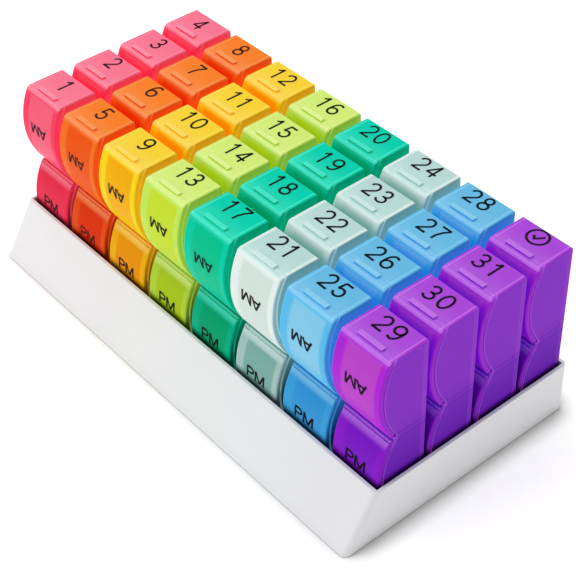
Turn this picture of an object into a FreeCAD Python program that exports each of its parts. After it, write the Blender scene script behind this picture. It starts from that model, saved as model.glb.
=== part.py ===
import FreeCAD, Part
import math
import os

# Monthly pill organizer: 32 day boxes stand in a low tray, 8 columns by 4 rows. Each box is a
# hollow body with a morning (am) lid above its waist and an evening (pm) lid below it.
# Lengths are millimetres. +X runs along the tray, +Y to its rear and +Z up. The origin is at
# the centre of the tray's underside. A box is drawn in its own frame: its rear face on y = 0,
# its front towards -Y, its underside on z = 0. A depth is a distance forward of its rear face.

# Grid of day boxes
COLUMNS = 8
ROWS = 4
COLUMN_PITCH = 28.0
ROW_PITCH = 23.6

# Day box body
BOX_WIDTH = 24.4
BOX_HEIGHT = 74.4
TOP_DEPTH = 14.8  # depth of the side walls at the top and the bottom
BULGE_DEPTH = 20.0  # depth of the side walls at their foremost point
BULGE_DROP = 17.4  # from the top, or up from the bottom, to that point
WAIST_ROUND = 3.0  # radius of the hollow between the two bulges
BOX_WALL = 1.2
DIVIDER = 2.8  # floor between the two compartments
BODY_ROUND = 0.6

# Lids
SEAT_GAP = 0.3  # between a lid's rim and the body's front edges
LID_DEPTH = 2.1  # from the lid's outer face back to its rim
LID_SKIN = 1.2
LID_WALL = 1.2  # side and end walls of the lid
LID_ROUND = 0.8  # along the lid's long sides
END_ROUND = 2.0  # across the lid's free end
PLUG_REACH = 0.8  # how far the inner rim goes into the body's mouth
PLUG_WALL = 0.8
PLUG_GAP = 0.3  # between the inner rim and the walls round it

# Finger tab at a lid's free end
TAB_WIDTH = 12.0
TAB_DEPTH = 2.1
TAB_OVERLAP = 0.8  # how far the tab reaches over the body's end wall
TAB_HEIGHT = 0.9
TAB_GAP = 0.15  # between the tab and the body's end wall

# Hinges at the waist
HINGE_SPACING = 3.6  # between the axes of the two lids
PIN_RADIUS = 0.6
PIN_CLEARANCE = 0.05
EAR_THICKNESS = 1.6
EAR_GAP = 0.2
LIP_GAP = 0.2  # between each knuckle and the lip that parts them
LIP_SETBACK = 0.6  # of the lip's edge behind the hinge axes, so that an open lid clears it

# Tray
TRAY_WALL = 1.6
TRAY_FLOOR = 2.0
RIM_HEIGHT = 23.6
FRONT_LEAN = 15.1  # how far the front wall runs out from its rim to its foot
SIDE_CLEARANCE = 0.8
REAR_CLEARANCE = 0.8
FRONT_CLEARANCE = 0.9
TRAY_CORNER = 2.5
RIM_ROUND = 0.4
SEAT_RIB_HEIGHT = 4.0
SEAT_RIB_INSET = 3.0  # from a box's rear and front edges to the ribs that it stands on
RIB_THICKNESS = 1.6
LOCATING_RIB_RISE = 3.0  # how far the locating ribs stand above the boxes' undersides
REAR_STOP_GAP = 0.4

# What follows from the sizes above
BULGE_RISE = BULGE_DEPTH - TOP_DEPTH
BULGE_RADIUS = (BULGE_DROP ** 2 + BULGE_RISE ** 2) / (2.0 * BULGE_RISE)
BULGE_CENTRE_DEPTH = BULGE_DEPTH - BULGE_RADIUS
BULGE_CENTRE_HEIGHT = BOX_HEIGHT - BULGE_DROP
WAIST_HEIGHT = BOX_HEIGHT / 2.0
WAIST_DROP = BULGE_CENTRE_HEIGHT - WAIST_HEIGHT
WAIST_CENTRE_DEPTH = BULGE_CENTRE_DEPTH + math.sqrt((BULGE_RADIUS + WAIST_ROUND) ** 2
                                                    - WAIST_DROP ** 2)
WAIST_DEPTH = WAIST_CENTRE_DEPTH - WAIST_ROUND
LID_RADIUS = BULGE_RADIUS + SEAT_GAP + LID_DEPTH
KNUCKLE_RADIUS = LID_DEPTH / 2.0
AXIS_HEIGHT = WAIST_HEIGHT + HINGE_SPACING / 2.0
EAR_OUTER = BOX_WIDTH / 2.0 - LID_WALL - EAR_GAP
EAR_INNER = EAR_OUTER - EAR_THICKNESS
SEAT_HEIGHT = TRAY_FLOOR + SEAT_RIB_HEIGHT
BOX_FRONT = BULGE_DEPTH + SEAT_GAP + LID_DEPTH
FRONT_SLOPE = math.atan2(FRONT_LEAN, RIM_HEIGHT)
FRONT_WALL_RUN = TRAY_WALL / math.cos(FRONT_SLOPE)
TRAY_LENGTH = ((COLUMNS - 1) * COLUMN_PITCH + BOX_WIDTH
               + 2.0 * (SIDE_CLEARANCE + TRAY_WALL))
TRAY_DEPTH = (FRONT_LEAN + FRONT_WALL_RUN + FRONT_CLEARANCE + BOX_FRONT
              + (ROWS - 1) * ROW_PITCH + REAR_CLEARANCE + TRAY_WALL)
LAST_REAR_FACE = TRAY_DEPTH / 2.0 - TRAY_WALL - REAR_CLEARANCE


def at(depth, height):
    """Point in a box's side view."""
    return FreeCAD.Vector(0.0, -depth, height)


def circle_depth(radius, height):
    """Depth of a circle about the upper bulge's centre, at a height."""
    rise = height - BULGE_CENTRE_HEIGHT
    return BULGE_CENTRE_DEPTH + math.sqrt(radius ** 2 - rise ** 2)


def arc(centre, start, end):
    """Edge of a circle about centre, the short way from start to end."""
    middle = (start - centre) + (end - centre)
    middle.Length = (start - centre).Length
    return Part.Arc(start, centre + middle, end).toShape()


def line(start, end):
    """Straight edge."""
    return Part.LineSegment(start, end).toShape()


def prism(edges, half_width):
    """Solid between x = -half_width and +half_width over a closed side view."""
    face = Part.Face(Part.Wire(edges))
    face.translate(FreeCAD.Vector(-half_width, 0.0, 0.0))
    return face.extrude(FreeCAD.Vector(2.0 * half_width, 0.0, 0.0))


def block(x_range, depth_range, height_range):
    """Box-shaped solid given by its ranges in a box's frame."""
    size_x = x_range[1] - x_range[0]
    size_y = depth_range[1] - depth_range[0]
    size_z = height_range[1] - height_range[0]
    corner = FreeCAD.Vector(x_range[0], -depth_range[1], height_range[0])
    return Part.makeBox(size_x, size_y, size_z, corner)


def rod(radius, x_range, centre):
    """Cylinder along X about a point of the side view."""
    start = FreeCAD.Vector(x_range[0], centre.y, centre.z)
    return Part.makeCylinder(radius, x_range[1] - x_range[0], start, FreeCAD.Vector(1, 0, 0))


def both_sides(x_range):
    """An x range on the right and its mirror image on the left."""
    return [x_range, (-x_range[1], -x_range[0])]


def mirrored(shape):
    """Mirror image of an upper half's piece, below the waist."""
    return shape.mirror(FreeCAD.Vector(0, 0, WAIST_HEIGHT), FreeCAD.Vector(0, 0, 1))


def hinge_axis():
    """Point on the upper lid's hinge axis: its knuckle fills the lid's depth there."""
    radius = BULGE_RADIUS + SEAT_GAP + KNUCKLE_RADIUS
    return at(circle_depth(radius, AXIS_HEIGHT), AXIS_HEIGHT)


def bulge_band(inner_radius, outer_radius, height_range, half_width):
    """Curved plate concentric with the upper bulge, cut off level at two heights."""
    low, high = height_range
    centre = at(BULGE_CENTRE_DEPTH, BULGE_CENTRE_HEIGHT)
    outer_low = at(circle_depth(outer_radius, low), low)
    outer_high = at(circle_depth(outer_radius, high), high)
    inner_low = at(circle_depth(inner_radius, low), low)
    inner_high = at(circle_depth(inner_radius, high), high)
    edges = [arc(centre, outer_low, outer_high), line(outer_high, inner_high),
             arc(centre, inner_high, inner_low), line(inner_low, outer_low)]
    return prism(edges, half_width)


def body_outline():
    """Side view of a box body: two bulges in front, with a rounded hollow at the waist."""
    upper = at(BULGE_CENTRE_DEPTH, BULGE_CENTRE_HEIGHT)
    lower = at(BULGE_CENTRE_DEPTH, BOX_HEIGHT - BULGE_CENTRE_HEIGHT)
    hollow = at(WAIST_CENTRE_DEPTH, WAIST_HEIGHT)
    share = BULGE_RADIUS / (BULGE_RADIUS + WAIST_ROUND)
    upper_join = upper + (hollow - upper) * share
    lower_join = lower + (hollow - lower) * share
    top_front = at(TOP_DEPTH, BOX_HEIGHT)
    bottom_front = at(TOP_DEPTH, 0.0)
    return [line(at(0.0, 0.0), at(0.0, BOX_HEIGHT)),
            line(at(0.0, BOX_HEIGHT), top_front),
            arc(upper, top_front, upper_join),
            arc(hollow, upper_join, lower_join),
            arc(lower, lower_join, bottom_front),
            line(bottom_front, at(0.0, 0.0))]


def on_value(value, target):
    """Whether a coordinate lies on a named plane."""
    return abs(value - target) < 1e-4


def is_body_round(edge):
    """Outer edges of a body that are rounded: all but those round the curved front."""
    box = edge.BoundBox
    at_side = on_value(abs(box.Center.x), BOX_WIDTH / 2.0)
    at_rear = on_value(box.YMin, 0.0) and on_value(box.YMax, 0.0)
    level = on_value(box.ZMin, box.ZMax)
    at_end = level and (on_value(box.ZMin, 0.0) or on_value(box.ZMin, BOX_HEIGHT))
    return at_rear or (at_side and at_end)


def compartment():
    """Hollow of the upper half, open at the front."""
    half_width = BOX_WIDTH / 2.0 - BOX_WALL
    return block((-half_width, half_width), (BOX_WALL, 2.0 * BULGE_DEPTH),
                 (WAIST_HEIGHT + DIVIDER / 2.0, BOX_HEIGHT - BOX_WALL))


def hinge_ears():
    """Ears on the divider that hold both lids' pins, and the lip between the knuckles."""
    axis = hinge_axis()
    reach = (WAIST_DEPTH - DIVIDER / 2.0, -axis.y - LIP_SETBACK)
    half_lip = HINGE_SPACING / 2.0 - KNUCKLE_RADIUS - LIP_GAP
    half_spacing = HINGE_SPACING / 2.0
    pieces = [block((-BOX_WIDTH / 2.0, BOX_WIDTH / 2.0), reach,
                    (WAIST_HEIGHT - half_lip, WAIST_HEIGHT + half_lip))]
    holes = []
    for side in both_sides((EAR_INNER, EAR_OUTER)):
        disc = rod(KNUCKLE_RADIUS, side, axis)
        hole = rod(PIN_RADIUS + PIN_CLEARANCE, side, axis)
        web = block(side, reach, (WAIST_HEIGHT - half_spacing, WAIST_HEIGHT + half_spacing))
        pieces += [web, disc, mirrored(disc)]
        holes += [hole, mirrored(hole)]
    return pieces, holes


def box_body():
    """Hollow box with two open compartments and the hinge ears at its waist."""
    solid = prism(body_outline(), BOX_WIDTH / 2.0)
    solid = solid.makeFillet(BODY_ROUND, [edge for edge in solid.Edges if is_body_round(edge)])
    solid = solid.cut(compartment()).cut(mirrored(compartment()))
    ears, holes = hinge_ears()
    return solid.fuse(ears).cut(holes).removeSplitter()


def is_free_end(edge):
    """The outer edge across a lid's free end."""
    box = edge.BoundBox
    return box.XLength > BOX_WIDTH / 2.0 and on_value(box.YMin, -circle_depth(LID_RADIUS, BOX_HEIGHT))


def is_long_side(edge):
    """The outer edges along a lid's two sides."""
    box = edge.BoundBox
    at_side = on_value(abs(box.Center.x), BOX_WIDTH / 2.0)
    outer = box.YMin < -circle_depth(LID_RADIUS, BOX_HEIGHT) - BULGE_RISE / 2.0
    return at_side and outer and box.ZLength > BULGE_DROP


def plug_rim():
    """Inner rim of a lid that fills the body's mouth when the lid is shut."""
    half_width = BOX_WIDTH / 2.0 - BOX_WALL - PLUG_GAP
    low = AXIS_HEIGHT + KNUCKLE_RADIUS + PLUG_GAP
    high = BOX_HEIGHT - BOX_WALL - PLUG_GAP
    inner = BULGE_RADIUS - PLUG_REACH
    outer = LID_RADIUS - LID_SKIN / 2.0
    ring = bulge_band(inner, outer, (low, high), half_width)
    window = bulge_band(inner - PLUG_WALL, outer + PLUG_WALL,
                        (low + PLUG_WALL, high - PLUG_WALL), half_width - PLUG_WALL)
    return ring.cut(window)


def finger_tab():
    """Bar at a lid's free end: its rear half lies over the body's end wall."""
    rear = TOP_DEPTH - TAB_OVERLAP
    front = rear + TAB_DEPTH
    sides = (-TAB_WIDTH / 2.0, TAB_WIDTH / 2.0)
    bar = block(sides, (rear, front), (BOX_HEIGHT + TAB_GAP, BOX_HEIGHT + TAB_HEIGHT))
    neck_foot = BOX_HEIGHT - LID_WALL / 2.0
    neck_rear = circle_depth(BULGE_RADIUS + SEAT_GAP, neck_foot)
    neck = block(sides, (neck_rear, front), (neck_foot, BOX_HEIGHT + TAB_HEIGHT))
    return bar.fuse(neck).removeSplitter()


def knuckle_end(side):
    """Rounded end of a lid's side wall about its hinge axis."""
    disc = rod(KNUCKLE_RADIUS, side, hinge_axis())
    outer = [edge for edge in disc.Edges
             if on_value(edge.BoundBox.XLength, 0.0)
             and on_value(abs(edge.BoundBox.Center.x), BOX_WIDTH / 2.0)]
    return disc.makeFillet(LID_ROUND, outer)


def box_lid():
    """Upper lid: a curved shallow shell with a knuckle, two pins, an inner rim and a tab."""
    axis = hinge_axis()
    half_width = BOX_WIDTH / 2.0
    seat = BULGE_RADIUS + SEAT_GAP
    shell = bulge_band(seat, LID_RADIUS, (AXIS_HEIGHT, BOX_HEIGHT), half_width)
    shell = shell.makeFillet(END_ROUND, [edge for edge in shell.Edges if is_free_end(edge)])
    shell = shell.makeFillet(LID_ROUND, [edge for edge in shell.Edges if is_long_side(edge)])
    hollow = bulge_band(seat - LID_DEPTH, LID_RADIUS - LID_SKIN,
                        (AXIS_HEIGHT - LID_DEPTH, BOX_HEIGHT - LID_WALL), half_width - LID_WALL)
    shell = shell.cut(hollow)
    barrel_end = EAR_INNER - EAR_GAP
    notch_radius = KNUCKLE_RADIUS + EAR_GAP
    notches = [rod(notch_radius, side, axis)
               for side in both_sides((barrel_end, half_width - LID_WALL))]
    shell = shell.fuse(plug_rim()).cut(notches)
    added = [rod(KNUCKLE_RADIUS, (-barrel_end, barrel_end), axis), finger_tab()]
    for side in both_sides((half_width - LID_WALL, half_width)):
        added.append(knuckle_end(side))
    for side in both_sides((EAR_INNER, half_width - LID_WALL / 2.0)):
        added.append(rod(PIN_RADIUS, side, axis))
    return shell.fuse(added).removeSplitter()


def tray_outline(wall, foot, top):
    """Side view of the tray, inset by a wall: upright at the rear and leaning at the front."""
    lean = FRONT_LEAN / RIM_HEIGHT
    front = -TRAY_DEPTH / 2.0 + wall / math.cos(FRONT_SLOPE)
    rear = TRAY_DEPTH / 2.0 - wall
    points = [FreeCAD.Vector(0, front + lean * foot, foot),
              FreeCAD.Vector(0, front + lean * top, top),
              FreeCAD.Vector(0, rear, top),
              FreeCAD.Vector(0, rear, foot)]
    return [line(points[i], points[(i + 1) % 4]) for i in range(4)]


def seat_ribs():
    """Low ribs along X, two under each row, that carry the boxes clear of their tabs."""
    half = TRAY_LENGTH / 2.0
    ribs = []
    for row in range(ROWS):
        rear_face = row_rear_face(row)
        for depth in (SEAT_RIB_INSET, TOP_DEPTH - SEAT_RIB_INSET - RIB_THICKNESS):
            rear = -rear_face + depth
            ribs.append(block((-half, half), (rear, rear + RIB_THICKNESS), (0.0, SEAT_HEIGHT)))
    return ribs


def locating_ribs():
    """Ribs between the columns, and behind each row, that keep the boxes in line."""
    half_length = TRAY_LENGTH / 2.0
    half_depth = TRAY_DEPTH / 2.0
    top = SEAT_HEIGHT + LOCATING_RIB_RISE
    ribs = []
    for column in range(COLUMNS - 1):
        middle = column_centre(column) + COLUMN_PITCH / 2.0
        sides = (middle - RIB_THICKNESS / 2.0, middle + RIB_THICKNESS / 2.0)
        ribs.append(block(sides, (-half_depth, half_depth), (0.0, top)))
    for row in range(ROWS - 1):
        front = -row_rear_face(row) - REAR_STOP_GAP
        ribs.append(block((-half_length, half_length), (front - RIB_THICKNESS, front), (0.0, top)))
    return ribs


def is_tray_corner(edge):
    """The four outer corner edges that run from the tray's foot to its rim."""
    box = edge.BoundBox
    return on_value(abs(box.Center.x), TRAY_LENGTH / 2.0) and on_value(box.ZLength, RIM_HEIGHT)


def is_rim_edge(edge):
    """Edges round the tray's rim, inside and outside."""
    box = edge.BoundBox
    return on_value(box.ZMin, RIM_HEIGHT) and on_value(box.ZMax, RIM_HEIGHT)


def tray():
    """Open tray with a closed flat underside and ribs on its floor."""
    outer = prism(tray_outline(0.0, 0.0, RIM_HEIGHT), TRAY_LENGTH / 2.0)
    outer = outer.makeFillet(TRAY_CORNER, [edge for edge in outer.Edges if is_tray_corner(edge)])
    inner = prism(tray_outline(TRAY_WALL, TRAY_FLOOR, RIM_HEIGHT + TRAY_FLOOR),
                  TRAY_LENGTH / 2.0 - TRAY_WALL)
    shell = outer.cut(inner)
    shell = shell.makeFillet(RIM_ROUND, [edge for edge in shell.Edges if is_rim_edge(edge)])
    ribs = [rib.common(outer) for rib in seat_ribs() + locating_ribs()]
    return shell.fuse(ribs).removeSplitter()


def column_centre(column):
    """x of a column's centre."""
    return (column - (COLUMNS - 1) / 2.0) * COLUMN_PITCH


def row_rear_face(row):
    """y of the rear faces of a row's boxes; row 0 is the front row."""
    return LAST_REAR_FACE - (ROWS - 1 - row) * ROW_PITCH


def box_name(number):
    """The last box is the spare one: a month has 31 days at most."""
    return "spare" if number == COLUMNS * ROWS else "day_%02d" % number


def placed(shape, column, row):
    """Copy of a box's piece at its place in the tray."""
    copy = shape.copy()
    copy.translate(FreeCAD.Vector(column_centre(column), row_rear_face(row), SEAT_HEIGHT))
    return copy


def export(name, shape):
    """Write one node, after a check of its solids."""
    for solid in shape.Solids:
        if not solid.isValid():
            raise ValueError("invalid solid in " + name)
    shape.exportStep("parts/" + name + ".step")
    print("%-18s %d solid(s) %9.1f mm3" % (name, len(shape.Solids), shape.Volume))


def main():
    """Build the tray and the 32 boxes. Front row boxes have a node for each piece."""
    os.makedirs("parts", exist_ok=True)
    export("tray", tray())
    body = box_body()
    am_lid = box_lid()
    pm_lid = mirrored(am_lid)
    for column in range(COLUMNS):
        for row in range(ROWS):
            name = box_name(column * ROWS + row + 1)
            pieces = [placed(piece, column, row) for piece in (body, am_lid, pm_lid)]
            if row == 0:
                export(name + "_body", pieces[0])
                export(name + "_am_lid", pieces[1])
                export(name + "_pm_lid", pieces[2])
            else:
                export(name + "_box", Part.makeCompound(pieces))


main()
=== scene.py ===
import logging
import math
from dataclasses import dataclass, field
from enum import Enum

import bmesh
import bpy
from mathutils import Matrix, Vector


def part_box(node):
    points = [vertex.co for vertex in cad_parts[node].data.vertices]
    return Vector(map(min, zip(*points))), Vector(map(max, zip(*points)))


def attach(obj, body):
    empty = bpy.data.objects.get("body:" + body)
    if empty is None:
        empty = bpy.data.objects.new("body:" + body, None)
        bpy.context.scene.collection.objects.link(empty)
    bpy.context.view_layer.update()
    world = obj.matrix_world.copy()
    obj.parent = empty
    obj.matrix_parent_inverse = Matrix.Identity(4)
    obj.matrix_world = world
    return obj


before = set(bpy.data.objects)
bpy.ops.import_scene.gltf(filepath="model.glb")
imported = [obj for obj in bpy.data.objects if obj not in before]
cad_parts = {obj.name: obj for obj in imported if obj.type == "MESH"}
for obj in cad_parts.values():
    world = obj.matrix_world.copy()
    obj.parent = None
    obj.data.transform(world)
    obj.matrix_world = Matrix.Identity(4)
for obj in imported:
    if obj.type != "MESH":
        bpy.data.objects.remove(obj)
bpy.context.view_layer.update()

LOG = logging.getLogger("pill_organizer")
# Metres in a millimetre, millimetres in a metre, and the full level of an 8-bit channel.
MM = 0.001
PER_METRE = 1.0 / MM
FULL = 255.0
# Number of the box that has a mark in place of a day.
SPARE = 32
# Points of a stroke that lie nearer than this are one point, in millimetres.
SAME = 1e-6

Point = tuple[float, float]
Stroke = list[Point]
Place = tuple[float, float, float]
Display = tuple[float, float, float]
Linear = tuple[float, float, float, float]
Socket = bpy.types.NodeSocket
Feed = float | Linear | Socket
WHITE: Linear = (1.0, 1.0, 1.0, 1.0)
BLACK: Linear = (0.0, 0.0, 0.0, 1.0)


def srgb(red: float, green: float, blue: float) -> Linear:
    """Linear colour of an 8-bit display colour, by the sRGB curve.

    Args:
        red: 0 to 255.
        green: 0 to 255.
        blue: 0 to 255.

    Returns:
        Red, green, blue and alpha, as shader sockets take them.
    """
    def linear(value: float) -> float:
        """One channel, from display to linear."""
        share = value / FULL
        return share / 12.92 if share <= 0.04045 else ((share + 0.055) / 1.055) ** 2.4
    return (linear(red), linear(green), linear(blue), 1.0)


def lightened(colour: Display, share: float) -> Linear:
    """A display colour at full strength, moved towards white.

    Args:
        colour: red, green and blue, 0 to 255.
        share: how far towards white, 0 to 1.

    Returns:
        The linear colour.
    """
    most = max(colour)
    full = [value * FULL / most for value in colour]
    return srgb(*(value + (FULL - value) * share for value in full))


@dataclass(frozen=True)
class Tone:
    """Display colours of one column's plastic.

    Attributes:
        top: a box's top, where light comes up through it; it is the lit colour, and the shaded faces are
            painted darker from it.
        pane: the middle of a lid.
        band: a lid's margin, with the side wall and the inner rim behind it.
        deep: painted shade of the gaps, the side walls and the lower lids; also the floor at the waist,
            seen through a side wall.
        ink: the print, tinted by the plastic under it.
    """

    top: Display
    pane: Display
    band: Display
    deep: Display
    ink: Display


class Column(Enum):
    """The eight columns from left to right, named as the record's material slots are."""

    PINK = ("pink", Tone((250, 118, 146), (242, 100, 125), (246, 62, 100), (228, 34, 66), (64, 10, 26)))
    ORANGE = ("orange", Tone((250, 128, 42), (234, 78, 8), (242, 112, 30), (216, 30, 0), (82, 30, 4)))
    YELLOW = ("yellow", Tone((250, 210, 56), (240, 165, 0), (250, 213, 20), (230, 136, 0), (46, 30, 0)))
    LIME = ("lime", Tone((211, 236, 120), (199, 221, 34), (194, 230, 92), (160, 190, 0), (26, 36, 2)))
    TEAL = ("teal", Tone((4, 208, 174), (0, 191, 138), (0, 204, 166), (0, 150, 98), (0, 30, 22)))
    CLEAR = ("clear", Tone((186, 218, 213), (208, 224, 216), (230, 240, 237), (84, 158, 147), (30, 32, 30)))
    BLUE = ("blue", Tone((106, 188, 229), (142, 206, 234), (92, 190, 236), (0, 138, 212), (4, 18, 36)))
    PURPLE = ("purple", Tone((172, 76, 218), (190, 74, 200), (176, 40, 214), (106, 8, 198), (30, 4, 40)))

    @property
    def slot(self) -> str:
        """The record's material slot."""
        return self.value[0]

    @property
    def tone(self) -> Tone:
        """The column's colours."""
        return self.value[1]


@dataclass(frozen=True)
class BoxShape:
    """Driving sizes of a day box, in millimetres, as its solids have them.

    Attributes:
        pitch: from column to column.
        width: of a box.
        height: of a box, without its tabs.
        top_depth: depth of the side walls at the top and the bottom.
        bulge_depth: depth of the side walls at their foremost point.
        bulge_drop: from the top, or up from the bottom, to that point.
        lid_stand: how far a lid's outer face stands off the side walls.
    """

    pitch: float = 28.0
    width: float = 24.4
    height: float = 74.4
    top_depth: float = 14.8
    bulge_depth: float = 20.0
    bulge_drop: float = 17.4
    lid_stand: float = 2.4

    @property
    def wall_radius(self) -> float:
        """Radius of the side walls' curved front."""
        rise = self.bulge_depth - self.top_depth
        return (self.bulge_drop ** 2 + rise ** 2) / (2.0 * rise)

    @property
    def lid_radius(self) -> float:
        """Radius of a lid's outer face."""
        return self.wall_radius + self.lid_stand

    @property
    def centre_depth(self) -> float:
        """Depth of the lids' common line of centres."""
        return self.bulge_depth - self.wall_radius


SHAPE = BoxShape()


class Shader:
    """A material or node group under construction, with short calls to add and link nodes."""

    def __init__(self, tree: bpy.types.NodeTree) -> None:
        """Keep the node tree to add to."""
        self.tree = tree

    def node(self, kind: str, settings: dict[str, object] | None = None, **inputs: Feed) -> bpy.types.Node:
        """Add one node.

        Args:
            kind: the node's type name, without its leading "ShaderNode".
            settings: attributes to set on the node.
            **inputs: socket name, with _ for a space, to a value or an output socket.

        Returns:
            The new node.
        """
        made = self.tree.nodes.new("ShaderNode" + kind)
        for name, value in (settings or {}).items():
            setattr(made, name, value)
        for name, value in inputs.items():
            self.feed(made.inputs[name.replace("_", " ")], value)
        return made

    def feed(self, socket: Socket, value: Feed) -> None:
        """Link an output socket to an input socket, or set the input's own value.

        Args:
            socket: the input.
            value: a value or an output socket.
        """
        if isinstance(value, Socket):
            self.tree.links.new(value, socket)
        else:
            socket.default_value = value

    def math(self, operation: str, *values: Feed) -> Socket:
        """Result of a Math node.

        Args:
            operation: the node's operation, such as MAXIMUM.
            *values: its numbers or output sockets, in order.

        Returns:
            The node's output socket.
        """
        made = self.node("Math", {"operation": operation})
        for socket, value in zip(made.inputs, values):
            self.feed(socket, value)
        return made.outputs[0]

    def times(self, first: Feed, second: Feed) -> Socket:
        """Product of two numbers or output sockets."""
        return self.math("MULTIPLY", first, second)

    def less(self, first: Feed, second: Feed) -> Socket:
        """The first number or output socket, less the second."""
        return self.math("SUBTRACT", first, second)

    def ramp(self, value: Feed, start: float, end: float) -> Socket:
        """Smooth step of a value.

        Args:
            value: an output socket.
            start: the value that gives 0.
            end: the value that gives 1; less than start for a falling step.

        Returns:
            The step's output socket.
        """
        rising = start < end
        made = self.node("MapRange", {"interpolation_type": "SMOOTHSTEP"}, Value=value,
                         From_Min=min(start, end), From_Max=max(start, end),
                         To_Min=float(not rising), To_Max=float(rising))
        return made.outputs["Result"]

    def mix(self, share: Feed, low: Feed, high: Feed) -> Socket:
        """Colour between two others.

        Args:
            share: how much of the second, a number or an output socket.
            low: colour at 0.
            high: colour at 1.

        Returns:
            The mixed colour's output socket.
        """
        made = self.node("Mix", {"data_type": "RGBA"}, Factor=share)
        self.feed(made.inputs["A"], low)
        self.feed(made.inputs["B"], high)
        return made.outputs["Result"]


class EffectGroup:
    """A shader node group with named inputs and outputs, built once and placed many times."""

    name = "effect"
    socket = "NodeSocketFloat"
    inputs: dict[str, float] = {}
    outputs: tuple[str, ...] = ()

    def __init__(self) -> None:
        """Build the group's tree."""
        self.tree = bpy.data.node_groups.new(self.name, "ShaderNodeTree")
        for title, value in self.inputs.items():
            socket = self.tree.interface.new_socket(title, in_out="INPUT", socket_type=self.socket)
            socket.default_value = value
        for title in self.outputs:
            self.tree.interface.new_socket(title, in_out="OUTPUT", socket_type=self.socket)
        self.shader = Shader(self.tree)
        self.entry = self.tree.nodes.new("NodeGroupInput").outputs
        self.exit = self.tree.nodes.new("NodeGroupOutput").inputs
        self.build()

    def build(self) -> None:
        """Fill the group. Each kind of group has its own."""
        raise NotImplementedError

    def place(self, shader: Shader, **inputs: float) -> bpy.types.NodeOutputs:
        """Put the group in a material.

        Args:
            shader: the material's tree.
            **inputs: input name, with _ for a space, to a value.

        Returns:
            The placed group's outputs.
        """
        made = shader.tree.nodes.new("ShaderNodeGroup")
        made.node_tree = self.tree
        for title, value in inputs.items():
            shader.feed(made.inputs[title.replace("_", " ")], value)
        return made.outputs


class MouldGrain(EffectGroup):
    """Fine spark-eroded grain of a mould, with broad soft unevenness."""

    name = "mould_grain"
    inputs = {"Grain per mm": 3.0, "Broad per mm": 0.08, "Smooth": 0.3, "Rough": 0.5}
    outputs = ("Height", "Roughness", "Mottle")

    def build(self) -> None:
        """Noise at two scales, read in the object's own coordinates."""
        shader = self.shader
        place = shader.node("TexCoord").outputs["Object"]
        fine = shader.node("TexNoise", Vector=place, Detail=2.0,
                           Scale=shader.times(self.entry["Grain per mm"], PER_METRE))
        broad = shader.node("TexNoise", Vector=place, Detail=3.0, Roughness=0.55,
                            Scale=shader.times(self.entry["Broad per mm"], PER_METRE))
        spread = shader.less(self.entry["Rough"], self.entry["Smooth"])
        step = shader.times(spread, broad.outputs["Fac"])
        shader.feed(self.exit["Height"], fine.outputs["Fac"])
        shader.feed(self.exit["Roughness"], shader.math("ADD", self.entry["Smooth"], step))
        shader.feed(self.exit["Mottle"], broad.outputs["Fac"])


class RubbedEdge(EffectGroup):
    """Mask of the outer edges, where a moulding is rounded off and catches the light; materials paint a
    highlight along it.
    """

    name = "rubbed_edge"
    inputs = {"Width mm": 0.5, "Strength": 1.0}
    outputs = ("Edge",)

    def build(self) -> None:
        """Compare the true normal with one that is rounded over the width."""
        shader = self.shader
        radius = shader.times(self.entry["Width mm"], MM)
        rounded = shader.node("Bevel", {"samples": 4}, Radius=radius)
        true = shader.node("NewGeometry")
        along = shader.node("VectorMath", {"operation": "DOT_PRODUCT"})
        shader.feed(along.inputs[0], rounded.outputs["Normal"])
        shader.feed(along.inputs[1], true.outputs["Normal"])
        apart = shader.less(1.0, along.outputs["Value"])
        mask = shader.times(apart, self.entry["Strength"])
        shader.feed(self.exit["Edge"], shader.math("MINIMUM", mask, 1.0))


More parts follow.
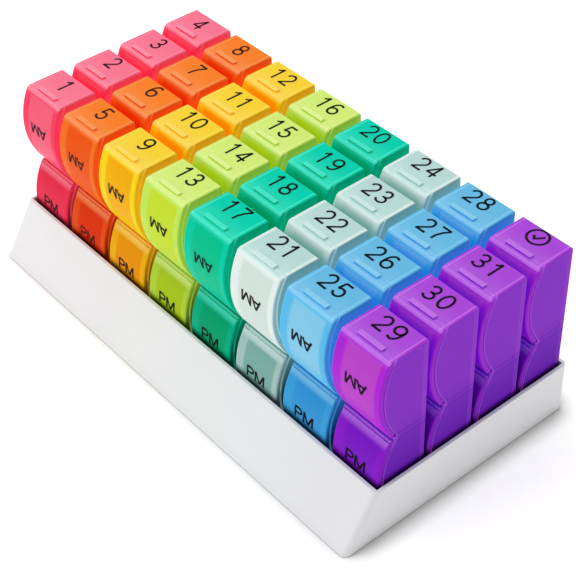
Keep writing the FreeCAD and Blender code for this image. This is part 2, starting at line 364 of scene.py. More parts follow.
class BoxPanes(EffectGroup):
    """Masks that follow the form of a day box, read in the object's own coordinates.

    Attributes:
        ramps: where each mask starts and where it is full: in shares of the normal for Front, Top
            and Flank, of a lid's margin for Band, or else in millimetres.
        over_end: how far past the box's end a lid's margin starts, in millimetres.
        off_waist: how far from the waist it starts.
        left_share: how much of the distance from the left side counts, for a wider margin.
        wall_middle: how deep the middle of a wall or a floor lies, in millimetres.
        forward: ramp of the normal for faces that look to the front.
        leaning: ramp that leaves out upright faces.
        level: ramp that leaves out level faces.
    """

    name = "box_panes"
    inputs = {"Pitch mm": SHAPE.pitch, "Half width mm": SHAPE.width / 2.0, "Band mm": 2.8,
              "Waist mm": 43.2, "Reach mm": SHAPE.height / 2.0, "Row pitch mm": 23.6,
              "Rear mm": -16.45, "Rim mm": 23.6, "Centre mm": -11.7, "Bulge mm": 19.8, "Seam mm": 31.9}
    # Sheen, Shoulder and Tab mark where painted highlights go; Gloom, Sill and Lower mark where painted
    # shade goes.
    ramps = {"Front": (0.45, 0.75), "Top": (0.75, 0.95), "Flank": (0.6, 0.9), "Band": (1.25, 0.85),
             "Fade": (20.0, 5.0), "Wall": (1.5, 1.1), "Line": (0.5, 0.1), "Rear": (2.7, 2.3),
             "Sheen": (5.0, 18.0), "Shelf": (0.45, 0.15), "Tab": (-0.35, -0.6), "Lower": (1.5, -1.5),
             "Seam": (0.5, 0.25), "Lid": (-0.1, 0.2), "Gloom": (30.0, 0.0), "Sill": (3.4, 1.4)}
    outputs = (*ramps, "Shoulder")
    over_end = 1.0
    off_waist = 1.2
    left_share = 0.62
    wall_middle = 1.4
    forward = (0.1, 0.35)
    leaning = (0.43, 0.52)
    level = (0.985, 0.9)

    def build(self) -> None:
        """Set each mask from the place in the box and from the way the surface faces."""
        shader, entry = self.shader, self.entry
        coordinates = shader.node("TexCoord").outputs
        place = shader.node("SeparateXYZ", Vector=coordinates["Object"]).outputs
        facing = shader.node("SeparateXYZ", Vector=coordinates["Normal"]).outputs
        ahead = shader.times(facing["Y"], -1.0)
        half_pitch = shader.times(entry["Pitch mm"], 0.5)
        along = shader.math("MULTIPLY_ADD", place["X"], PER_METRE, half_pitch)
        sideways = shader.math("WRAP", along, half_pitch, shader.times(half_pitch, -1.0))
        inward = shader.less(entry["Half width mm"], shader.math("ABSOLUTE", sideways))
        from_left = shader.math("ADD", entry["Half width mm"], sideways)
        height = shader.times(place["Z"], PER_METRE)
        over_rim = shader.less(height, entry["Rim mm"])
        rise = shader.less(height, entry["Waist mm"])
        away = shader.math("ABSOLUTE", rise)
        beyond = shader.less(entry["Reach mm"], away)
        from_end = shader.math("ADD", beyond, self.over_end)
        ends = shader.math("MINIMUM", from_end, shader.less(away, self.off_waist))
        flanks = shader.math("MINIMUM", inward, shader.times(from_left, self.left_share))
        margin = shader.math("MINIMUM", flanks, ends)
        off_line = shader.less(inward, self.wall_middle)
        off_shelf = shader.less(away, self.wall_middle)
        behind = shader.less(entry["Rear mm"], shader.times(place["Y"], PER_METRE))
        row_depth = shader.math("FLOORED_MODULO", behind, entry["Row pitch mm"])
        forth = shader.less(row_depth, entry["Centre mm"])
        upward = shader.less(away, entry["Bulge mm"])
        squares = shader.math("MULTIPLY_ADD", forth, forth, shader.times(upward, upward))
        past_seam = shader.less(shader.math("SQRT", squares), entry["Seam mm"])
        values = {"Front": ahead, "Top": facing["Z"], "Flank": shader.math("ABSOLUTE", facing["X"]),
                  "Band": shader.math("DIVIDE", margin, entry["Band mm"]), "Fade": away,
                  "Wall": inward, "Line": shader.math("ABSOLUTE", off_line), "Rear": row_depth,
                  "Sheen": row_depth, "Shelf": shader.math("ABSOLUTE", off_shelf), "Tab": beyond,
                  "Lower": rise, "Seam": shader.math("ABSOLUTE", past_seam), "Lid": past_seam,
                  "Gloom": over_rim, "Sill": over_rim}
        for title, value in values.items():
            shader.feed(self.exit[title], shader.ramp(value, *self.ramps[title]))
        # Shoulder: the upper front edge, where the plastic gets a painted highlight.
        upright = shader.ramp(facing["Z"], *self.leaning)
        tilted = shader.times(upright, shader.ramp(facing["Z"], *self.level))
        shader.feed(self.exit["Shoulder"], shader.times(tilted, shader.ramp(ahead, *self.forward)))


class Crowding(EffectGroup):
    """Mask of the places that look at near walls, such as the gaps between boxes, where the materials paint
    shade.
    """

    name = "crowding"
    inputs = {"Reach mm": 12.0, "Start": 0.35, "End": 0.85}
    outputs = ("Crowd",)

    def build(self) -> None:
        """Take the share of directions that are blocked within the reach."""
        shader = self.shader
        reach = shader.times(self.entry["Reach mm"], MM)
        open_share = shader.node("AmbientOcclusion", {"samples": 4}, Distance=reach).outputs["AO"]
        blocked = shader.less(1.0, open_share)
        above = shader.less(blocked, self.entry["Start"])
        span = shader.less(self.entry["End"], self.entry["Start"])
        share = shader.math("DIVIDE", above, span)
        shader.feed(self.exit["Crowd"], shader.math("MINIMUM", shader.math("MAXIMUM", share, 0.0), 1.0))


@dataclass(frozen=True)
class Effects:
    """The shared node groups, built once."""

    grain: MouldGrain
    edge: RubbedEdge
    panes: BoxPanes
    crowd: Crowding


class Finish:
    """How a piece looks, made into materials."""

    def material(self, name: str, effects: Effects) -> bpy.types.Material:
        """Build a material.

        Args:
            name: its name.
            effects: the shared groups.

        Returns:
            The new material.
        """
        made = bpy.data.materials.new(name)
        made.use_nodes = True
        shader = Shader(made.node_tree)
        sockets = made.node_tree.nodes["Principled BSDF"].inputs
        for title, value in self.inputs(shader, effects).items():
            shader.feed(sockets[title], value)
        return made

    def inputs(self, shader: Shader, effects: Effects) -> dict[str, Feed]:
        """What goes into the Principled shader.

        Args:
            shader: the material's tree.
            effects: the shared groups.

        Returns:
            Values and output sockets by the input's name.
        """
        raise NotImplementedError


@dataclass(frozen=True)
class Layer:
    """A colour laid over part of a surface.

    Attributes:
        mask: the mask of BoxPanes that it follows.
        share: how much of the colour beneath it covers where the mask is full.
        colour: which of the plastic's colours it is.
    """

    mask: str
    share: float
    colour: str


@dataclass(frozen=True)
class FrostedPlastic(Finish):
    """Translucent moulded plastic of the day boxes.

    Attributes:
        tone: the column's colours.
        level_layers: what shows through level faces, from the lowest layer up, ending with a painted sheen
            that lightens the front of each top.
        side_layers: the same for the side walls, with painted shade towards the tray and painted highlights
            along a lid's seam.
        cloudy: share of the margin's colour in the cloudiest patches of a lid.
        waist_fade: share of it near the waist.
        side_deep: share of the deep colour in the side walls, painted shade that makes them darker than the
            top.
        side_sink: how much more of that painted shade they have towards the tray.
        lower: share of the deep colour in the lower lids, painted shade.
        lower_side: share of that painted shade in the other faces below the waist.
        lower_margin: how much less painted shade the margin of a lower lid has.
        crowded: share of the deep colour in the gaps, painted shade.
        flank_light: share of the top colour that side walls keep there, in that painted shade and in the
            painted glow.
        carried: strength of a painted glow that the gaps give off, standing in for light that the plastic
            carries into them.
        seam_light: share of that painted glow in a lid's seam.
        gloom: how dark the painted shade in the gaps gets towards the tray.
        flank_gloom: how much less dark that painted shade gets on the side walls.
        sill: how dark the painted shade is where the tray stands close to a wall.
        rim_light: how near to white the pale colour of the painted highlights and pale lines is.
        rim_share: share of that painted highlight on the outer edges.
        glints: its share as painted highlights on the upper front edge and on the finger tab.
        scatter: share of light that spreads inside the wall.
    """

    tone: Tone
    level_layers: tuple[Layer, ...] = (Layer("Wall", 0.7, "band"), Layer("Line", 0.4, "pale"),
                                       Layer("Sheen", 0.2, "pale"))
    side_layers: tuple[Layer, ...] = (Layer("Gloom", 0.25, "black"), Layer("Rear", 0.35, "top"),
                                      Layer("Shelf", 0.6, "deep"), Layer("Lid", 0.4, "band"),
                                      Layer("Seam", 0.15, "pale"))
    cloudy: float = 0.35
    waist_fade: float = 0.6
    side_deep: float = 0.5
    side_sink: float = 0.25
    lower: float = 0.8
    lower_side: float = 0.3
    lower_margin: float = 0.22
    crowded: float = 0.85
    flank_light: float = 0.45
    carried: float = 0.4
    seam_light: float = 0.5
    gloom: float = 0.8
    flank_gloom: float = 0.45
    sill: float = 0.8
    rim_light: float = 0.4
    rim_share: float = 0.6
    glints: tuple[tuple[str, float], ...] = (("Shoulder", 0.45), ("Tab", 0.28))
    scatter: float = 0.35
    scatter_mm: float = 1.5
    specular: float = 0.02

    def colour(self, shader: Shader, masks: dict[str, Socket]) -> Socket:
        """Colour of the plastic, by what lies behind its skin, with painted shade and painted highlights
        laid over it.

        Args:
            shader: the material's tree.
            masks: those of the box's form, with Crowd for the gaps, Slot for what the tray
                stands close to, Rim for the outer edges and Mottle for broad unevenness.

        Returns:
            The colour's output socket.
        """
        tone = self.tone
        # pale is the colour of the painted highlights and pale lines; deep is mostly that of the painted
        # shade.
        colours = {"top": srgb(*tone.top), "band": srgb(*tone.band), "deep": srgb(*tone.deep),
                   "pale": lightened(tone.top, self.rim_light), "black": BLACK}
        top, band, deep = colours["top"], colours["band"], colours["deep"]

        def layered(base: Feed, layers: tuple[Layer, ...]) -> Feed:
            """Lay layers over a colour."""
            for layer in layers:
                share = shader.times(masks[layer.mask], layer.share)
                base = shader.mix(share, base, colours[layer.colour])
            return base

        crowd = masks["Crowd"]
        fade = shader.times(masks["Fade"], self.waist_fade)
        cloud = shader.math("MAXIMUM", shader.times(masks["Mottle"], self.cloudy), fade)
        front = shader.mix(masks["Band"], shader.mix(cloud, srgb(*tone.pane), band), band)
        # Painted shade: the side walls darker than the top, and darker still towards the tray.
        sinking = shader.math("MULTIPLY_ADD", masks["Gloom"], self.side_sink, self.side_deep)
        side = layered(shader.mix(sinking, top, deep), self.side_layers)
        # Level faces keep the lit top colour with the painted sheen of level_layers; other faces take the
        # shaded side colour.
        colour = shader.mix(masks["Top"], side, layered(top, self.level_layers))
        colour = shader.mix(masks["Front"], colour, front)
        # Painted shade: everything below the waist darker, the lower lids most.
        skin = shader.math("MULTIPLY_ADD", masks["Band"], -self.lower_margin, self.lower - self.lower_side)
        low = shader.math("MULTIPLY_ADD", masks["Front"], skin, self.lower_side)
        colour = shader.mix(shader.times(masks["Lower"], low), colour, deep)
        # Painted shade in the gaps between boxes, a little less on the side walls.
        packed = shader.math("MULTIPLY_ADD", masks["Flank"], -self.flank_light, self.crowded)
        colour = shader.mix(shader.times(crowd, packed), colour, deep)
        # Painted shade towards black: in the gaps near the tray, and where the tray stands close to a wall.
        gloom = shader.math("MULTIPLY_ADD", masks["Flank"], -self.flank_gloom, self.gloom)
        sunken = shader.times(shader.times(crowd, masks["Gloom"]), gloom)
        dark = shader.math("MAXIMUM", sunken, shader.times(masks["Slot"], self.sill))
        colour = shader.mix(dark, colour, BLACK)
        # Painted highlights: pale along the open outer edges, the upper front edge and the finger tab.
        light = shader.times(shader.times(masks["Rim"], shader.less(1.0, crowd)), self.rim_share)
        for mask, share in self.glints:
            light = shader.math("MAXIMUM", light, shader.times(masks[mask], share))
        return shader.mix(light, colour, colours["pale"])

    def inputs(self, shader: Shader, effects: Effects) -> dict[str, Feed]:
        """Inputs of the Principled shader, as in Finish."""
        fine = effects.grain.place(shader, Grain_per_mm=4.0, Broad_per_mm=0.09, Smooth=0.24, Rough=0.40)
        masks = {socket.name: socket for socket in effects.panes.place(shader)}
        blocked = effects.crowd.place(shader)["Crowd"]
        close = effects.crowd.place(shader, Reach_mm=3.0, Start=0.03, End=0.4)["Crowd"]
        masks["Crowd"] = shader.times(blocked, shader.less(1.0, masks["Seam"]))
        masks["Slot"] = shader.times(close, masks["Sill"])
        masks["Rim"] = effects.edge.place(shader, Width_mm=0.6, Strength=1.8)["Edge"]
        masks["Mottle"] = fine["Mottle"]
        bump = shader.node("Bump", Strength=0.06, Distance=0.02 * MM, Height=fine["Height"])
        # Painted glow: the gaps and a lid's seam give off light of the plastic's colours, though they are
        # no lamp.
        top, deep = srgb(*self.tone.top), srgb(*self.tone.deep)
        through = shader.mix(shader.times(masks["Flank"], self.flank_light), deep, top)
        lit = shader.times(masks["Crowd"], shader.less(1.0, masks["Gloom"]))
        glow = shader.mix(lit, BLACK, through)
        in_seam = shader.times(shader.times(blocked, masks["Seam"]), self.seam_light)
        return {"Base Color": self.colour(shader, masks),
                "Emission Color": shader.mix(in_seam, glow, top), "Emission Strength": self.carried,
                "Roughness": fine["Roughness"], "Normal": bump.outputs["Normal"],
                "Specular IOR Level": self.specular, "Subsurface Weight": self.scatter,
                "Subsurface Scale": self.scatter_mm * MM, "Subsurface Radius": (1.0, 1.0, 1.0)}


@dataclass(frozen=True)
class PrintInk(Finish):
    """Thin dark print on the plastic.

    Attributes:
        colour: its display colour.
        dark: how near to black its thickest patches are, 0 to 1.
    """

    colour: Display
    dark: float = 0.85
    specular: float = 0.05

    def inputs(self, shader: Shader, effects: Effects) -> dict[str, Feed]:
        """Inputs of the Principled shader, as in Finish."""
        fine = effects.grain.place(shader, Grain_per_mm=6.0, Broad_per_mm=0.6, Smooth=0.4, Rough=0.6)
        ink = srgb(*self.colour)
        thick = shader.mix(self.dark, ink, BLACK)
        return {"Base Color": shader.mix(fine["Mottle"], thick, ink), "Roughness": fine["Roughness"],
                "Specular IOR Level": self.specular}


@dataclass(frozen=True)
class WhitePlastic(Finish):
    """Opaque satin plastic of the tray.

    Attributes:
        colour: its display colour.
        shade: colour of its faint cloudiness.
        edge: colour of its outer edges, a painted highlight.
        gap: colour of the slot between its walls and the boxes, and of its crevices: painted shade.
        cloudy: share of the shade in its cloudiest patches.
    """

    colour: Display = (240, 240, 241)
    shade: Display = (226, 227, 229)
    edge: Display = (250, 250, 250)
    gap: Display = (62, 50, 54)
    cloudy: float = 0.5
    edge_share: float = 0.6
    gap_share: float = 0.9

    def inputs(self, shader: Shader, effects: Effects) -> dict[str, Feed]:
        """Inputs of the Principled shader, as in Finish."""
        fine = effects.grain.place(shader, Grain_per_mm=2.5, Broad_per_mm=0.03, Smooth=0.38, Rough=0.52)
        rim = effects.edge.place(shader, Width_mm=0.5, Strength=1.2)["Edge"]
        crowd = effects.crowd.place(shader, Reach_mm=5.0, Start=0.76, End=0.94)["Crowd"]
        cloud = shader.times(fine["Mottle"], self.cloudy)
        colour = shader.mix(cloud, srgb(*self.colour), srgb(*self.shade))
        # Painted highlight along the outer edges.
        colour = shader.mix(shader.times(rim, self.edge_share), colour, srgb(*self.edge))
        # Painted shade in the slot and the crevices.
        colour = shader.mix(shader.times(crowd, self.gap_share), colour, srgb(*self.gap))
        bump = shader.node("Bump", Strength=0.08, Distance=0.03 * MM, Height=fine["Height"])
        return {"Base Color": colour, "Roughness": fine["Roughness"], "Normal": bump.outputs["Normal"]}


@dataclass(frozen=True)
class FloorPaper(Finish):
    """Pale matt floor, with a light of its own that keeps it white far from the object, and a painted
    shadow close to it.

    Attributes:
        shade: its colour close to the object, a painted shadow.
        glow: share of the far light that it gives off near the object.
        far_glow: light that it gives off far from the object.
        glow_ramp: distances where that light starts to grow and where it is full, in metres.
    """

    shade: Display = (120, 120, 120)
    glow: float = 0.5
    far_glow: float = 0.6
    glow_ramp: Point = (0.25, 0.8)
    roughness: float = 0.9
    specular: float = 0.1

    def inputs(self, shader: Shader, effects: Effects) -> dict[str, Feed]:
        """Inputs of the Principled shader, as in Finish."""
        # Painted shadow: close to the object the floor turns grey and gives off no light.
        near = effects.crowd.place(shader, Reach_mm=9.0, Start=0.05, End=0.6)["Crowd"]
        place = shader.node("TexCoord").outputs["Object"]
        distance = shader.node("VectorMath", {"operation": "LENGTH"}, Vector=place).outputs["Value"]
        light = shader.mix(shader.ramp(distance, *self.glow_ramp), (self.glow,) * 3 + (1.0,), WHITE)
        return {"Base Color": shader.mix(near, WHITE, srgb(*self.shade)),
                "Emission Color": shader.mix(near, light, BLACK), "Emission Strength": self.far_glow,
                "Roughness": self.roughness, "Specular IOR Level": self.specular}


def linked(name: str, data: bpy.types.ID) -> bpy.types.Object:
    """Object of a mesh, lamp or camera, put in the scene."""
    made = bpy.data.objects.new(name, data)
    bpy.context.scene.collection.objects.link(made)
    return made


def arc(centre: Point, radii: Point, start: float, end: float) -> Stroke:
    """Points along an ellipse.

    Args:
        centre: its centre.
        radii: its half width and half height.
        start: first angle in degrees, anticlockwise from the right.
        end: last angle; less than start for a clockwise arc.

    Returns:
        The points from start to end.
    """
    count = max(3, round(abs(end - start) / 15.0))
    points = []
    for i in range(count + 1):
        angle = math.radians(start + (end - start) * i / count)
        points.append((centre[0] + radii[0] * math.cos(angle), centre[1] + radii[1] * math.sin(angle)))
    return points


class StrokeFont:
    """Plain upright lettering drawn with one even stroke. Glyphs are 1 high."""

    digit_width = 0.64
    letter_widths = {"A": 0.66, "M": 0.82, "P": 0.62}
    letter_gap = 0.06

    def __init__(self) -> None:
        """Set up the glyphs' centre lines."""
        six = [arc((0.325, 0.31), (0.255, 0.255), 0, 360),
               arc((0.36, 0.50), (0.29, 0.445), 55, 180) + arc((0.325, 0.31), (0.255, 0.255), 180, 190)]
        self.glyphs: dict[str, list[Stroke]] = {
            "0": [arc((0.32, 0.50), (0.265, 0.445), 0, 360)],
            "1": [[(0.10, 0.735), (0.235, 0.82), (0.345, 0.97)], [(0.345, 0.97), (0.345, 0.0)]],
            "2": [arc((0.31, 0.675), (0.245, 0.27), 170, -35) + [(0.07, 0.055)],
                  [(0.03, 0.055), (0.60, 0.055)]],
            "3": [arc((0.30, 0.715), (0.215, 0.23), 165, -90), arc((0.30, 0.275), (0.25, 0.22), 90, -165),
                  [(0.20, 0.49), (0.31, 0.49)]],
            "4": [[(0.44, 0.95), (0.045, 0.27)], [(0.02, 0.275), (0.62, 0.275)],
                  [(0.44, 0.97), (0.44, 0.0)]],
            "5": [[(0.56, 0.945), (0.17, 0.945)], [(0.17, 0.97), (0.10, 0.50)],
                  arc((0.31, 0.32), (0.255, 0.265), 140, -165)],
            "6": six,
            "7": [[(0.05, 0.945), (0.60, 0.945)],
                  [(0.58, 0.945), (0.36, 0.62), (0.25, 0.30), (0.235, 0.0)]],
            "8": [arc((0.315, 0.73), (0.205, 0.215), 0, 360), arc((0.315, 0.28), (0.25, 0.235), 0, 360)],
            "9": [[(self.digit_width - x, 1.0 - y) for x, y in stroke] for stroke in six],
            "A": [[(0.0, 0.0), (0.33, 1.0)], [(0.33, 1.0), (0.66, 0.0)], [(0.11, 0.30), (0.55, 0.30)]],
            "M": [[(0.07, 0.0), (0.07, 1.0)], [(0.09, 0.97), (0.41, 0.04)], [(0.41, 0.04), (0.73, 0.97)],
                  [(0.75, 1.0), (0.75, 0.0)]],
            "P": [[(0.07, 0.0), (0.07, 1.0)],
                  [(0.07, 0.945)] + arc((0.32, 0.70), (0.245, 0.245), 90, -90) + [(0.07, 0.455)]],
        }

    def number(self, value: int, height: float, advance: float) -> list[Stroke]:
        """Strokes of a number, centred on the origin.

        Args:
            value: the number.
            height: of a digit.
            advance: from one digit's middle to the next.

        Returns:
            Its strokes at full size.
        """
        digits = str(value)
        strokes = []
        for place, digit in enumerate(digits):
            middle = (place - (len(digits) - 1) / 2.0) * advance
            for stroke in self.glyphs[digit]:
                strokes.append([(middle + (x - self.digit_width / 2.0) * height, (y - 0.5) * height)
                                for x, y in stroke])
        return strokes

    def word(self, text: str, height: float, width: float) -> list[Stroke]:
        """Strokes of a word, centred on the origin and spread to a width.

        Args:
            text: letters that the font has.
            height: of a letter.
            width: of the whole word.

        Returns:
            Its strokes at full size.
        """
        natural = sum(self.letter_widths[letter] for letter in text) + self.letter_gap * (len(text) - 1)
        stretch = width / natural
        strokes, left = [], -natural / 2.0
        for letter in text:
            for stroke in self.glyphs[letter]:
                strokes.append([((left + x) * stretch, (y - 0.5) * height) for x, y in stroke])
            left += self.letter_widths[letter] + self.letter_gap
        return strokes


class Surface:
    """Where print lies: maps a print's own right and up, in millimetres, to places in metres."""

    def at(self, right: float, up: float, off: float) -> Vector:
        """Place of a point of the print.

        Args:
            right: towards the print's right.
            up: towards its top.
            off: off the surface.

        Returns:
            The place in metres.
        """
        raise NotImplementedError


@dataclass(frozen=True)
class LevelTop(Surface):
    """A box's flat top.

    Attributes:
        middle: the print's middle, in metres.
    """

    middle: Vector

    def at(self, right: float, up: float, off: float) -> Vector:
        """Place of a point of the print, as Surface.at says."""
        return self.middle + Vector((right, up, off)) * MM


@dataclass(frozen=True)
class LidCurve(Surface):
    """A lid's outer face, a part of a cylinder that lies along X.

    Attributes:
        centre: point on the cylinder's line of centres, behind the print's middle, in metres.
        radius: the cylinder's, in millimetres.
        rise: the print's middle above the line of centres, in millimetres.
        sense: 1 for upright print, -1 for print turned upside down.
    """

    centre: Vector
    radius: float
    rise: float
    sense: int

    def at(self, right: float, up: float, off: float) -> Vector:
        """Place of a point of the print, as Surface.at says."""
        angle = math.asin(self.rise / self.radius) + self.sense * up / self.radius
        reach = self.radius + off
        over = Vector((self.sense * right, -reach * math.cos(angle), reach * math.sin(angle)))
        return self.centre + over * MM


@dataclass(frozen=True)
class PrintMaker:
    """Turns strokes into one thin solid mesh on a surface.

    Attributes:
        proud: how far the ink stands off the surface, in millimetres.
        sunk: how far it goes below, so that no light passes under it.
        step: longest piece of a stroke, so that print follows a curved face.
        mitre: least cosine that widens a bend, which keeps sharp bends short.
    """

    proud: float = 0.03
    sunk: float = 0.02
    step: float = 1.2
    mitre: float = 0.5

    def closed(self, points: Stroke) -> bool:
        """Whether a stroke ends where it starts."""
        return math.dist(points[0], points[-1]) < SAME

    def refined(self, stroke: Stroke) -> Stroke:
        """The stroke with points added so that no piece is longer than the step.

        Args:
            stroke: its centre line.

        Returns:
            The longer list of points.
        """
        points = [stroke[0]]
        for (x0, y0), (x1, y1) in zip(stroke, stroke[1:]):
            count = max(1, math.ceil(math.hypot(x1 - x0, y1 - y0) / self.step))
            for i in range(1, count + 1):
                points.append((x0 + (x1 - x0) * i / count, y0 + (y1 - y0) * i / count))
        return points

    def sides(self, points: Stroke, width: float) -> list[tuple[Point, Point]]:
        """Left and right edge points of a stroke's ribbon, with its joints mitred.

        Args:
            points: the stroke's centre line.
            width: the ribbon's.

        Returns:
            One pair for each point.
        """
        closed = self.closed(points)
        last = len(points) - 1
        pairs = []
        for i, (x, y) in enumerate(points):
            before = points[i - 1] if i else points[last - 1 if closed else 0]
            after = points[i + 1] if i < last else points[1 if closed else last]
            first = Vector((x - before[0], y - before[1])).normalized()
            second = Vector((after[0] - x, after[1] - y)).normalized()
            along = (first + second).normalized()
            spread = width / 2.0 / max(self.mitre, along.dot(second if second.length else first))
            aside, onward = -along.y * spread, along.x * spread
            pairs.append(((x + aside, y + onward), (x - aside, y - onward)))
        return pairs

    def ribbon(self, mesh: bmesh.types.BMesh, stroke: Stroke, width: float, surface: Surface) -> None:
        """Add one stroke as a closed solid.

        Args:
            mesh: the mesh to add to.
            stroke: its centre line.
            width: of the ribbon.
            surface: where it lies.
        """
        points = self.refined(stroke)
        closed = self.closed(points)
        pairs = self.sides(points, width)
        rings = []
        for left, right in pairs[:-1] if closed else pairs:
            corners = ((left, self.proud), (right, self.proud), (right, -self.sunk), (left, -self.sunk))
            rings.append([mesh.verts.new(surface.at(*point, off)) for point, off in corners])
        follow = rings[1:] + rings[:1] if closed else rings[1:]
        for near, far in zip(rings, follow):
            for i in range(4):
                j = (i + 1) % 4
                mesh.faces.new((near[j], near[i], far[i], far[j]))
        if not closed:
            mesh.faces.new(rings[0])
            mesh.faces.new(reversed(rings[-1]))

    def piece(self, name: str, strokes: list[Stroke], width: float, surface: Surface,
              ink: bpy.types.Material) -> bpy.types.Object:
        """Make one printed word, number or mark.

        Args:
            name: the piece's name.
            strokes: its centre lines.
            width: of a stroke.
            surface: where it lies.
            ink: its material.

        Returns:
            The new object.
        """
        mesh = bmesh.new()
        for stroke in strokes:
            self.ribbon(mesh, stroke, width, surface)
        bmesh.ops.recalc_face_normals(mesh, faces=mesh.faces)
        data = bpy.data.meshes.new(name)
        mesh.to_mesh(data)
        mesh.free()
        data.materials.append(ink)
        return linked(name, data)


@dataclass
class Studio:
    """Pale floor, soft lamps, white surroundings and the camera at the photo's place.

    Lengths are in metres and angles in degrees, unless a name says otherwise.

    Attributes:
        effects: the shared groups.
        camera_aim: the point in the middle of the camera's view.
        camera_roll: its turn about the line of view.
        focal_px: its focal length in pixels of the frame.
        fill: strength of the white surroundings as light.
    """

    effects: Effects
    camera_at: Place = (0.3576, -0.2730, 0.4185)
    camera_aim: Place = (0.0233, -0.0065, 0.0400)
    camera_roll: float = -2.15
    focal_px: float = 1473.4
    frame_px: int = 576
    sensor_mm: float = 36.0
    near_clip: float = 0.01
    lamp_aim: Place = (0.0, 0.0, 0.03)
    fill: float = 0.435
    floor_half: float = 3.0
    floor_drop: float = 0.0002

    def camera(self) -> None:
        """Create the camera and make it the scene's."""
        lens = bpy.data.cameras.new("camera")
        lens.sensor_width = self.sensor_mm
        lens.lens = self.focal_px / self.frame_px * self.sensor_mm
        lens.clip_start = self.near_clip
        holder = linked("camera", lens)
        ahead = (Vector(self.camera_aim) - Vector(self.camera_at)).normalized()
        level = ahead.cross(Vector((0.0, 0.0, 1.0))).normalized()
        up = level.cross(ahead)
        turn = math.radians(self.camera_roll)
        right = level * math.cos(turn) + up * math.sin(turn)
        up = right.cross(ahead)
        turned = Matrix((right, up, -ahead)).transposed()
        holder.matrix_world = Matrix.Translation(Vector(self.camera_at)) @ turned.to_4x4()
        bpy.context.scene.camera = holder
        LOG.info("camera, %.0f mm lens", lens.lens)

    def lamp(self, name: str, place: Place, side: float, watts: float) -> None:
        """One square softbox that faces the object.

        Args:
            name: the lamp's name.
            place: its place in metres.
            side: its side in metres.
            watts: its power.
        """
        light = bpy.data.lights.new(name, "AREA")
        light.size = side
        light.energy = watts
        holder = linked(name, light)
        holder.location = place
        backward = Vector(place) - Vector(self.lamp_aim)
        holder.rotation_euler = backward.to_track_quat("Z", "Y").to_euler()
        LOG.info("lamp %s", name)

    def world(self) -> None:
        """White to the camera and to reflections, a little less as light."""
        world = bpy.data.worlds.new("surroundings")
        world.use_nodes = True
        shader = Shader(world.node_tree)
        path = shader.node("LightPath").outputs
        seen = shader.math("MAXIMUM", path["Is Camera Ray"], path["Is Glossy Ray"])
        seen = shader.math("MAXIMUM", seen, path["Is Transmission Ray"])
        strength = shader.node("MapRange", Value=seen, To_Min=self.fill, To_Max=1.0)
        background = world.node_tree.nodes["Background"]
        background.inputs["Color"].default_value = WHITE
        shader.feed(background.inputs["Strength"], strength.outputs["Result"])
        bpy.context.scene.world = world

    def floor(self) -> None:
        """Large pale floor that keeps the object's shadow, with a painted shadow close to the object."""
        mesh = bpy.data.meshes.new("floor")
        half = self.floor_half
        corners = [(-half, -half, 0), (half, -half, 0), (half, half, 0), (-half, half, 0)]
        mesh.from_pydata(corners, [], [(0, 1, 2, 3)])
        slab = linked("floor", mesh)
        slab.location.z = -self.floor_drop
        mesh.materials.append(FloorPaper().material("floor_paper", self.effects))
        LOG.info("floor")

    def build(self) -> None:
        """Make everything that isn't part of the object."""
        self.world()
        self.floor()
        self.lamp("overhead_softbox", (-0.15, 0.1, 1.0), side=0.9, watts=5.15)
        self.lamp("front_softbox", (-0.5, -0.9, 0.7), side=0.7, watts=3.4)
        self.camera()


@dataclass(frozen=True)
class LidWord:
    """The word printed on a lid.

    Attributes:
        width: of the whole word, in millimetres.
        level: height of its middle over the box's underside, in millimetres.
        sense: 1 for upright, -1 for upside down.
    """

    width: float
    level: float
    sense: int


class Lid(Enum):
    """The two lids of a box."""

    AM = LidWord(10.6, 59.2, -1)
    PM = LidWord(10.4, 21.0, 1)


@dataclass
class Box:
    """One day box.

    Attributes:
        number: 1 to 32, up each column from the front row.
        column: its column.
        in_front: whether it stands in the front row.
        middle: x of its middle, in metres.
        rear: y of its rear face, in metres.
    """

    number: int
    column: Column
    in_front: bool
    middle: float = field(init=False)
    rear: float = field(init=False)

    def __post_init__(self) -> None:
        """Read the box's place from its CAD node."""
        low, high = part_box(self.node)
        self.middle = (low[0] + high[0]) / 2.0
        self.rear = high[1]

    @property
    def body(self) -> str:
        """The CAD body that it moves with."""
        return "spare" if self.number == SPARE else "day_%02d" % self.number

    @property
    def node(self) -> str:
        """The CAD node that its walls are in."""
        return self.body + ("_body" if self.in_front else "_box")

    def lid_body(self, lid: Lid) -> str:
        """The CAD body that a lid of the box moves with."""
        return "%s_%s_lid" % (self.body, lid.name.lower()) if self.in_front else self.body


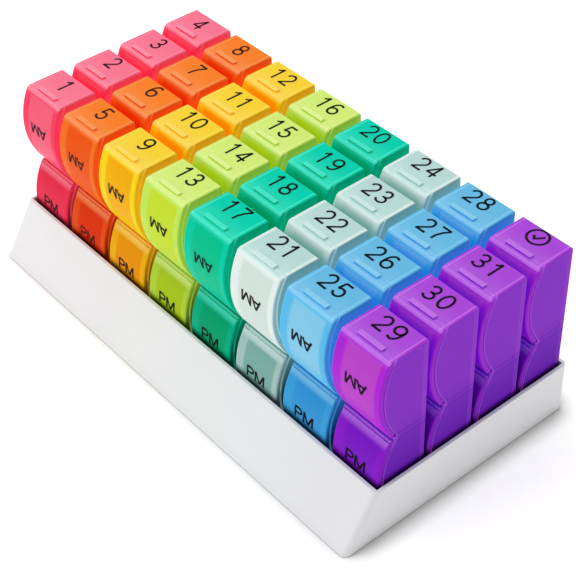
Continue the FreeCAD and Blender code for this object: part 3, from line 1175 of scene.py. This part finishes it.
@dataclass
class Organizer:
    """The tray and its 32 day boxes. Sizes are in millimetres.

    Attributes:
        effects: the shared groups.
        rows: how many boxes in a column.
        print_shift: middle of a day number, right of the box's middle and forward of its rear face.
        drift: most that a number strays from there, to the right and forward.
        drift_turns: how fast it strays from box to box, in radians for each way.
        drift_start: where the forward drift starts, in radians.
        number_advance: from one digit's middle to the next.
        tick: points of the spare box's tick, in shares of its ring's radius.
        finishes: material of each of the record's slots.
        inks: each column's ink, by its slot.
    """

    effects: Effects
    rows: int = 4
    print_shift: Point = (-0.8, 5.8)
    drift: Point = (0.5, 0.8)
    drift_turns: Point = (2.4, 1.7)
    drift_start: float = 1.0
    number_height: float = 8.2
    number_advance: float = 6.6
    number_stroke: float = 0.98
    ring_radius: float = 4.2
    tick: tuple[Point, ...] = ((-0.45, 0.02), (-0.1, -0.38), (0.5, 0.42))
    word_height: float = 5.0
    word_stroke: float = 0.95
    font: StrokeFont = field(default_factory=StrokeFont)
    maker: PrintMaker = PrintMaker()
    finishes: dict[str, bpy.types.Material] = field(default_factory=dict)
    inks: dict[str, bpy.types.Material] = field(default_factory=dict)
    boxes: list[Box] = field(default_factory=list)

    def make_finishes(self) -> None:
        """Build one material for each of the record's slots, and each column's ink."""
        self.finishes["tray_white"] = WhitePlastic().material("tray_white_plastic", self.effects)
        for column in Column:
            slot, tone = column.slot, column.tone
            self.finishes[slot] = FrostedPlastic(tone).material(slot + "_frosted", self.effects)
            self.inks[slot] = PrintInk(tone.ink).material(slot + "_ink", self.effects)

    def dress(self) -> None:
        """Give each CAD node its finish by its material slot."""
        for name, node in sorted(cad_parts.items()):
            slot = node.material_slots[0].material.name.split(".")[0]
            node.material_slots[0].material = self.finishes[slot]
            LOG.info("%s in %s", name, slot)

    def list_boxes(self) -> None:
        """List the boxes, each column from the front row up."""
        for index in range(SPARE):
            column, row = divmod(index, self.rows)
            self.boxes.append(Box(index + 1, list(Column)[column], row == 0))

    def number_strokes(self, number: int) -> list[Stroke]:
        """Strokes of a box's number; the spare box has a ring with a tick.

        Args:
            number: the box's.

        Returns:
            Its strokes at full size.
        """
        if number != SPARE:
            return self.font.number(number, self.number_height, self.number_advance)
        radius = self.ring_radius
        tick = [(x * radius, y * radius) for x, y in self.tick]
        return [arc((0.0, 0.0), (radius, radius), 0, 360), tick]

    def print_number(self, box: Box, height: float) -> None:
        """Print a box's number on its top.

        Args:
            box: the box.
            height: of the top, in metres.
        """
        right = self.print_shift[0] + self.drift[0] * math.sin(self.drift_turns[0] * box.number)
        turn = self.drift_turns[1] * box.number + self.drift_start
        depth = self.print_shift[1] + self.drift[1] * math.sin(turn)
        middle = Vector((box.middle + right * MM, box.rear - depth * MM, height))
        number = self.maker.piece(box.body + "_number", self.number_strokes(box.number),
                                  self.number_stroke, LevelTop(middle), self.inks[box.column.slot])
        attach(number, box.body)

    def print_lid(self, box: Box, lid: Lid, height: float) -> None:
        """Print the word on one lid of a box.

        Args:
            box: the box.
            lid: which of its lids.
            height: of the box's underside, in metres.
        """
        word = lid.value
        centre_height = SHAPE.height - SHAPE.bulge_drop if lid is Lid.AM else SHAPE.bulge_drop
        centre = Vector((box.middle, box.rear - SHAPE.centre_depth * MM, height + centre_height * MM))
        surface = LidCurve(centre, SHAPE.lid_radius, word.level - centre_height, word.sense)
        strokes = self.font.word(lid.name, self.word_height, word.width)
        piece = self.maker.piece("%s_%s_print" % (box.body, lid.name.lower()), strokes,
                                 self.word_stroke, surface, self.inks[box.column.slot])
        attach(piece, box.lid_body(lid))

    def print_all(self) -> None:
        """Print the number and the words of every box."""
        low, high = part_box(self.boxes[0].node)
        for box in self.boxes:
            self.print_number(box, high[2])
            for lid in Lid:
                self.print_lid(box, lid, low[2])
            LOG.info("%s printed", box.body)


def main() -> None:
    """Build the scene in order: the stage, then the object's finishes and print."""
    logging.basicConfig(level=logging.INFO, format="%(message)s")
    bpy.context.scene.view_settings.view_transform = "Standard"
    effects = Effects(MouldGrain(), RubbedEdge(), BoxPanes(), Crowding())
    Studio(effects).build()
    organizer = Organizer(effects)
    organizer.make_finishes()
    organizer.dress()
    organizer.list_boxes()
    organizer.print_all()


if __name__ == "__main__":
    main()
